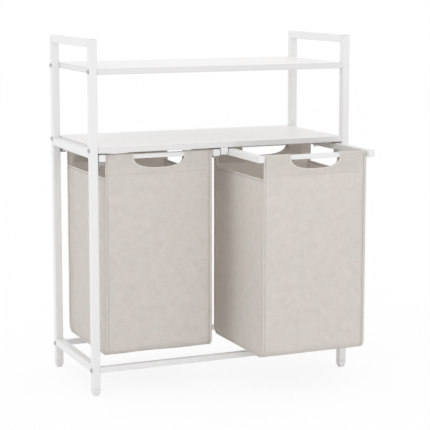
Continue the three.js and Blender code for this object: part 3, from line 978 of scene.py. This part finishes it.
def side_point(side, y_share, z, seed, lift=0.0):
    """A place on a side panel, from -1 at the front to 1 at the back."""
    edge = deep
    rise = floor_height + bottom_radius - z
    if rise > 0:
        edge = flat_run + math.sqrt(max(0.0, bottom_radius ** 2 - rise ** 2))
    y = edge * y_share
    up_share = (z - floor_height) / (side_top - floor_height)
    across = 1 - y_share ** 2
    free = math.sin(math.pi / 2 * min(1.0, up_share / side_free_above))
    bow = -side_bow * math.sin(math.pi * up_share) - side_top_bow * up_share ** side_top_bow_power
    for depth, (a, b), (c, d), step in side_waves:
        bow += depth * noise.noise(Vector((side * step + seed, y * a + z * b, y * c + z * d)))
    bow *= across * free
    near = ridge(1 - abs(y_share), side_pucker_share)
    bow += side_pucker_depth * near * noise.noise(Vector((z * side_pucker_rate, side, seed)))
    bow -= seam_sink * ridge(z - side_top + side_row_drop, side_row_width)
    x = half_width - side_setback + wander(side, y, z, seed) + bow + lift
    return Vector((side * x, y, z - side_top_sag * across * up_share ** side_top_sag_power))


side_turns = [math.pi / 2 * i / bottom_turn_steps for i in range(bottom_turn_steps + 1)]
side_rows = [floor_height + bottom_radius * (1 - math.cos(angle)) for angle in side_turns]
side_rows += spaced(floor_height + bottom_radius, side_top, [side_top - side_row_drop], grid_step)[1:]
side_shares = bunched(side_columns)
for bin_name, seed in bags.items():
    centre = centre_of(bin_name)
    for side, side_name in panels:
        flat = [side_point(side, share, z, seed) for share in side_shares for z in side_rows]
        faces = [
            grid_face(c, r, len(side_rows))
            for c in range(len(side_shares) - 1) for r in range(len(side_rows) - 1)
        ]
        places = [(p.y + side_map_shift * side, p.z) for p in flat]
        shades = [side_row_shade * ridge(z - side_top + side_row_drop, side_row_width) for z in side_rows]
        panel = bag_sheet(
            bin_name, f"{side_name}_side", [p + centre for p in flat], faces, places,
            shades * len(side_shares))


# Bag tape
# A folded tape binds the outside seam down each corner and along the bottom, the upper edge of each
# side panel, and the edge of each hand opening, where it goes on over the bar.
tape_sides = 12
tape_step = 0.004
corner_tape_width = 0.0036
corner_tape_thickness = 0.0025
corner_tape_sink = 0.0004
corner_tape_end_share = 0.75
top_tape_width = 0.0038
top_tape_thickness = 0.0026
top_tape_drop = 0.00114
top_tape_reach = 0.995
hand_tape_width = 0.0040
hand_tape_double = 0.0040
hand_tape_single = 0.0024
hand_tape_sink = 0.0006
hand_tape_steps = 40
doubled_rise = 0.004
doubled_blend = 0.006


def add_tape(bin_name, name, path, ups, across, tall):
    """A flat tape along a path on a bag, with its own map for the weave."""
    points, faces = tube_along(path, ups, across, tall, tape_sides)
    piece = piece_from(f"{bin_name}_bag_{name}_tape", points, faces, tape)
    turns = [2 * corner_tape_width * k / tape_sides for k in range(tape_sides)]
    map_cut(piece, [(turn, run) for run in runs_along(path) for turn in turns])
    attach(piece, bin_name)
    going_with[bin_name].append(piece)


def add_corner_tape(bin_name, seed, centre, side, side_name):
    """Tape along the outside seam, from one bar down, under the bag and up to the other."""
    count = round(2 * bar_run / tape_step)
    runs = [bar_run * (2 * i / count - 1) for i in range(count + 1)]
    x = side * (half_width - side_setback / 2)
    path = [cloth_point(x, run, seed, lift=-corner_tape_sink) + centre for run in runs]
    ups = [Vector((0, *outline_at(run)[2])) for run in runs]
    widths = [corner_tape_width] * (count + 1)
    widths[0] = widths[-1] = corner_tape_width * corner_tape_end_share
    add_tape(bin_name, f"{side_name}_corner", path, ups, widths, corner_tape_thickness)


def add_top_tape(bin_name, seed, centre, side, side_name):
    """Tape along the upper edge of a side panel."""
    middle = centre - Vector((0, 0, top_tape_drop))
    path = [side_point(side, share * top_tape_reach, side_top, seed) + middle for share in side_shares]
    ups = [Vector((side, 0, 0))] * len(path)
    add_tape(bin_name, f"{side_name}_top", path, ups, top_tape_width, top_tape_thickness)


def hand_tape_climb(way, x_side):
    """One end of a hand opening's tape: up the sleeve's inner layer and over the bar."""
    climb = []
    for z in reversed(inside_heights[:sleeve_steps + 1]):
        share = (bar_height - z) / hand_drop
        x = x_side * hand_half_width * (1 - share ** hand_power) ** (1 / hand_power)
        y = inside_depth(hand_half_width, z)
        climb.append((Vector((x, way * y, z)), Vector((0, -way, 0)), hand_tape_single))
    for y, z in reversed(sleeve_path[1:]):
        up = Vector((0, way * (y - (deep + inner_face) / 2), z - bar_height)).normalized()
        climb.append((Vector((x_side * hand_half_width, way * y, z)), up, hand_tape_single))
    return climb


def round_hand(angle, out=0.0):
    """Place across and height on a hand opening's edge, or on a line further out."""
    wide = (hand_half_width + out) * abs(math.cos(angle)) ** (2 / hand_power)
    tall = (hand_drop + out) * abs(math.sin(angle)) ** (2 / hand_power)
    return math.copysign(wide, math.cos(angle)), bar_height - tall


def add_hand_tape(bin_name, seed, centre, way, end_name):
    """Tape round the edge of a hand opening, thicker where it binds both layers."""
    curve = []
    for i in range(hand_tape_steps + 1):
        x, z = round_hand(math.pi * (1 + i / hand_tape_steps))
        doubled = ease((sleeve_end + doubled_rise - z) / doubled_blend)
        point = cloth_point(x, way * run_at(z), seed, lift=-hand_tape_sink * doubled)
        thick = hand_tape_single + (hand_tape_double - hand_tape_single) * doubled
        curve.append((point, Vector((0, way, 0)), thick))
    places = hand_tape_climb(way, -1) + curve + hand_tape_climb(way, 1)[::-1]
    path = [point + centre for point, _, _ in places]
    ups = [up for _, up, _ in places]
    thicks = [thick for _, _, thick in places]
    add_tape(bin_name, f"{end_name}_hand", path, ups, hand_tape_width, thicks)


for bin_name, seed in bags.items():
    centre = centre_of(bin_name)
    for side, side_name in panels:
        add_corner_tape(bin_name, seed, centre, side, side_name)
        add_top_tape(bin_name, seed, centre, side, side_name)
    for way, end_name in ((-1, "front"), (1, "back")):
        add_hand_tape(bin_name, seed, centre, way, end_name)


# Bag stitching
# Lockstitch in polyester thread, about 3 mm long, in rows beside the corner tapes, under each side
# panel's upper edge, along the end of the hem, and round each hand opening through both layers. Each
# stitch rises from its hole, lies on the cloth and dips.
stitch_length = 0.0026
stitch_pitch = 0.0034
stitch_width = 0.00062
stitch_height = 0.00052
stitch_rise = 0.00022
stitch_end_share = 0.55
stitch_steps = 4
stitch_sides = 6
side_row_end_gap = 0.004
hem_row_end_gap = 0.005
hand_row_gap = 0.0060
hand_row_steps = 120


def stitch_row(place_at, start, end):
    """Stitches along a line. place_at gives a point and the way off the cloth at a distance."""
    parts = []
    for i in range(int((end - start) / stitch_pitch)):
        path, ups, widths, heights = [], [], [], []
        for k in range(stitch_steps + 1):
            point, up = place_at(start + i * stitch_pitch + stitch_length * k / stitch_steps)
            bulge = math.sin(math.pi * k / stitch_steps)
            share = stitch_end_share + (1 - stitch_end_share) * bulge
            path.append(point - up * (stitch_rise * (1 - bulge)))
            ups.append(up)
            widths.append(stitch_width * share)
            heights.append(stitch_height * share)
        parts.append(tube_along(path, ups, widths, heights, stitch_sides))
    return parts


# The line round a hand opening, from the top of one side down and up to the top of the other
hand_turns = [math.pi * (1 + i / hand_row_steps) for i in range(hand_row_steps + 1)]
hand_row_reach = hand_half_width + hand_row_gap
hand_row_top = sleeve_top - bend_radius
hand_row = [Vector((-hand_row_reach, hand_row_top))]
hand_row += [Vector(round_hand(angle, hand_row_gap)) for angle in hand_turns]
hand_row.append(Vector((hand_row_reach, hand_row_top)))
hand_runs = runs_along(hand_row)


def hand_row_at(run):
    """The place across and the height on that line, at a distance along it."""
    after = 1
    while after < len(hand_row) - 1 and hand_runs[after] < run:
        after += 1
    start, end = hand_runs[after - 1], hand_runs[after]
    return hand_row[after - 1].lerp(hand_row[after], (run - start) / (end - start))


for bin_name, seed in bags.items():
    centre = centre_of(bin_name)

    def on_cloth(x, run):
        up = Vector((0, *outline_at(run)[2]))
        return cloth_point(x, run, seed, lift=half_cloth) + centre, up

    def on_side(side, y):
        place = side_point(side, y / deep, side_top - side_row_drop, seed, lift=half_cloth)
        return place + centre, Vector((side, 0, 0))

    def round_opening(way, run):
        x, z = hand_row_at(run)
        return on_cloth(x, way * run_at(z))

    rows = []
    for side, setback in corner_seam_setback.items():
        x = side * (half_width - setback)
        reach = deep - side_row_end_gap
        rows += stitch_row(lambda run: on_cloth(x, run), -bar_run, bar_run)
        rows += stitch_row(lambda y: on_side(side, y), -reach, reach)
    for way in (-1, 1):
        reach = half_width - hem_row_end_gap
        rows += stitch_row(lambda x: on_cloth(x, way * hem_row_run), -reach, reach)
        rows += stitch_row(lambda run: round_opening(way, run), 0.0, hand_runs[-1])
    points, faces = joined(rows)
    stitching = piece_from(f"{bin_name}_bag_stitching", points, faces, thread)
    map_cut(stitching, [(p.x + p.y, p.z) for p in points])
    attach(stitching, bin_name)


low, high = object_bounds()
